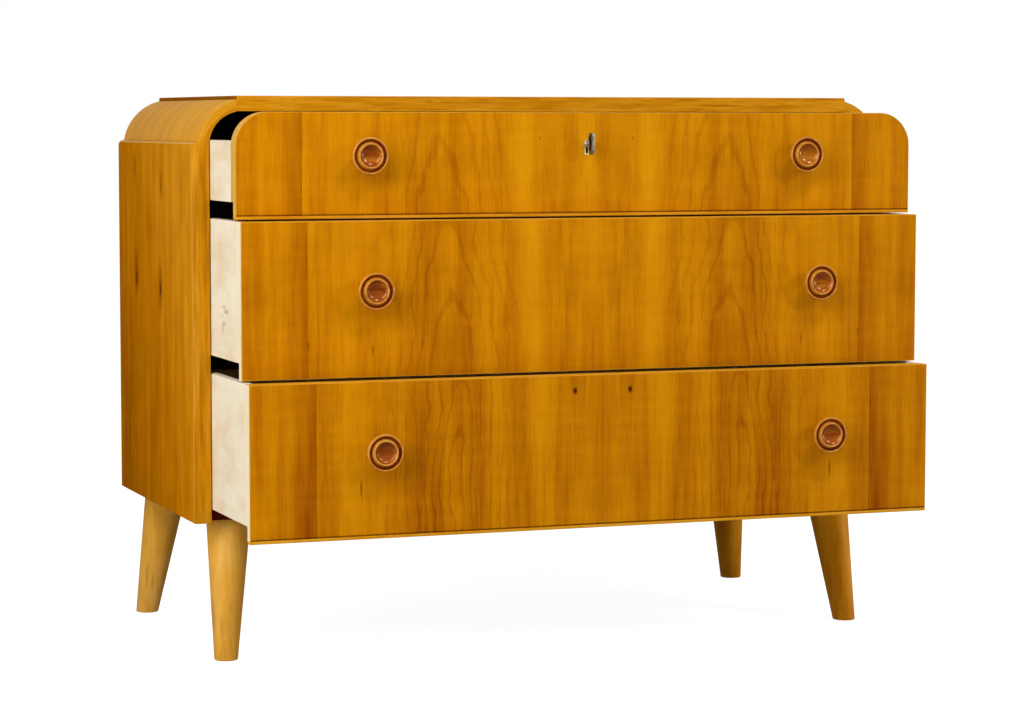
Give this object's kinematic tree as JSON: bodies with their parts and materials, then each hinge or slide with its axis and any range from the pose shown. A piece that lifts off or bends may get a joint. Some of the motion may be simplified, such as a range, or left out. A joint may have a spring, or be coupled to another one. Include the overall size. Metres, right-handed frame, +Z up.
{
  "type": "commode chest",
  "caption": "Wooden chest of sliding drawers with rounded upper corners, turned knobs, a drawer lock with its key, and splayed tapered legs.",
  "frame": {"origin": "on the floor, under the middle of the box that the chest fills with its drawers standing open as stored", "axes": "+X to the right along the drawer fronts, +Y to the back of the case, +Z up"},
  "size_m": [1, 0.646, 0.742],
  "materials": {
    "elm_veneer": "golden honey elm veneer, satin lacquer",
    "elm_moulding": "elm veneer bent over the curved moulding, satin lacquer",
    "beech": "turned beech, clear lacquer",
    "birch": "planed pale birch, unfinished",
    "plywood": "thin birch plywood, unfinished",
    "stained_pine": "sawn softwood with dark red-brown stain",
    "stained_birch": "turned birch, red-brown stain under gloss lacquer",
    "brass": "pale aged brass",
    "steel": "plain worn steel"
  },
  "bodies": {
    "case": {"side_left": "elm_veneer", "side_right": "elm_veneer", "corner_left": "elm_moulding", "corner_right": "elm_moulding", "top_panel": "elm_veneer", "bottom_panel": "stained_pine", "back_panel": "plywood", "upper_frame_front_rail": "stained_pine", "upper_frame_back_rail": "stained_pine", "upper_frame_runner_left": "stained_pine", "upper_frame_runner_right": "stained_pine", "lower_frame_front_rail": "stained_pine", "lower_frame_back_rail": "stained_pine", "lower_frame_runner_left": "stained_pine", "lower_frame_runner_right": "stained_pine", "kicker_left": "stained_pine", "kicker_right": "stained_pine", "leg_front_left": "beech", "leg_front_right": "beech", "leg_back_left": "beech", "leg_back_right": "beech", "leg_bolt_front_left": "steel", "leg_bolt_front_right": "steel", "leg_bolt_back_left": "steel", "leg_bolt_back_right": "steel"},
    "top_drawer": {"top_drawer_front": "elm_veneer", "top_drawer_side_left": "birch", "top_drawer_side_right": "birch", "top_drawer_back": "birch", "top_drawer_bottom": "plywood", "top_drawer_knob_left": "stained_birch", "top_drawer_knob_right": "stained_birch", "top_drawer_knob_screw_left": "steel", "top_drawer_knob_screw_right": "steel", "lock_case": "brass", "escutcheon": "brass"},
    "lock_bolt": {"lock_bolt": "steel"},
    "key": {"key": "steel"},
    "middle_drawer": {"middle_drawer_front": "elm_veneer", "middle_drawer_side_left": "birch", "middle_drawer_side_right": "birch", "middle_drawer_back": "birch", "middle_drawer_bottom": "plywood", "middle_drawer_knob_left": "stained_birch", "middle_drawer_knob_right": "stained_birch", "middle_drawer_knob_screw_left": "steel", "middle_drawer_knob_screw_right": "steel"},
    "bottom_drawer": {"bottom_drawer_front": "elm_veneer", "bottom_drawer_side_left": "birch", "bottom_drawer_side_right": "birch", "bottom_drawer_back": "birch", "bottom_drawer_bottom": "plywood", "bottom_drawer_knob_left": "stained_birch", "bottom_drawer_knob_right": "stained_birch", "bottom_drawer_knob_screw_left": "steel", "bottom_drawer_knob_screw_right": "steel"}
  },
  "joints": [
    {"name": "top_drawer_slide", "type": "slide", "parent": "case", "child": "top_drawer", "axis": [0, -1, 0], "range_m": [-0.1245, 0.1755]},
    {"name": "key_turn", "type": "hinge", "parent": "top_drawer", "child": "key", "pos_m": [0, -0.23905, 0.6801], "axis": [0, -1, 0], "range_deg": [0, 360]},
    {"name": "bolt_throw", "type": "slide", "parent": "top_drawer", "child": "lock_bolt", "axis": [0, 0, 1], "range_m": [0, 0.008]},
    {"name": "middle_drawer_slide", "type": "slide", "parent": "case", "child": "middle_drawer", "axis": [0, -1, 0], "range_m": [-0.1483, 0.1517]},
    {"name": "bottom_drawer_slide", "type": "slide", "parent": "case", "child": "bottom_drawer", "axis": [0, -1, 0], "range_m": [-0.1833, 0.1167]}
  ],
  "couplings": [
    {"joint": "key_turn", "follows": "bolt_throw", "rad_per_m": 785.4}
  ]
}
